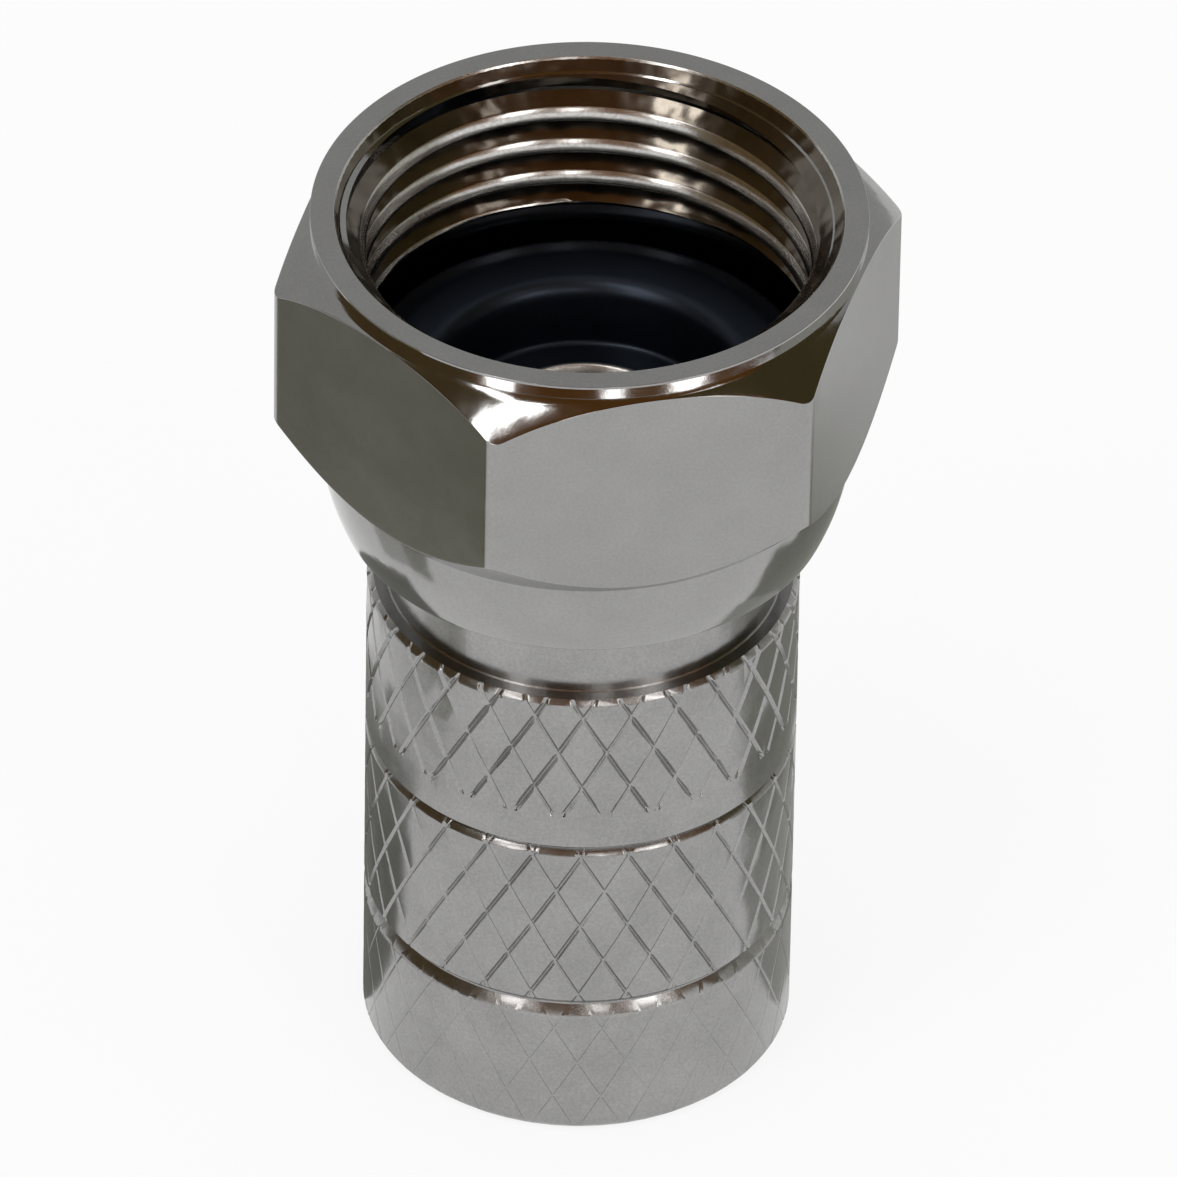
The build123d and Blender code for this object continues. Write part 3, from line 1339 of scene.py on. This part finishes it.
def main() -> None:
    """Loads the frame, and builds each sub-assembly and the studio."""
    logging.basicConfig(level=logging.INFO, format="%(name)s: %(message)s")
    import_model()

    nut_low, nut_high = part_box("coupling_nut")
    _, sleeve_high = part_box("sleeve")
    post_low, post_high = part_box("post")
    seal_low, seal_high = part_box("seal")

    turned_plate = NickelPlate("nickel_turned").build()
    bar_plate = NickelPlate("nickel_bar", lay=Lay.NONE, roughness=0.22, waviness=0.03).build()
    knurl_plate = NickelPlate(
        "nickel_knurled", lay=Lay.NONE, roughness=0.22, mottle=0.09, grain=0.1
    ).build()
    # The thread's flanks: the same nickel made darker and browner, as painted shade.
    thread_shade_plate = NickelPlate(
        "nickel_thread_shaded", (0.17, 0.15, 0.125), roughness=0.17, mottle=0.3, waviness=0.4
    ).build()
    # Crests and mouth lip: a lighter, rougher nickel, partly wear and partly a painted highlight.
    wear_and_highlight_plate = NickelPlate("nickel_wear_and_highlight", (0.6, 0.59, 0.57), roughness=0.2, grain=0.14).build()
    bore_plate = NickelPlate("nickel_bore", roughness=0.3).build()
    # The post: a much lighter nickel, a painted highlight on its tip.
    post_plate = NickelPlate("nickel_post_highlight", (0.75, 0.74, 0.71), roughness=0.3, grain=0.12).build()
    rubber = BlackRubber("black_rubber").build()

    CouplingNut(
        low=nut_low.z / MM,
        high=nut_high.z / MM,
        flat_radius=nut_high.y / MM,
    ).build(turned_plate, bar_plate, thread_shade_plate, wear_and_highlight_plate)
    Sleeve(
        high=sleeve_high.z / MM,
        barrel_radius=sleeve_high.x / MM,
    ).build(knurl_plate, bore_plate)
    Post(
        low=post_low.z / MM,
        high=post_high.z / MM,
        flange_radius=post_high.x / MM,
    ).build(post_plate)
    Seal(
        low=seal_low.z / MM,
        high=seal_high.z / MM,
        radius=seal_high.x / MM,
    ).build(rubber)
    Studio().build()
    bpy.context.scene.view_settings.view_transform = "Standard"


if __name__ == "__main__":
    main()
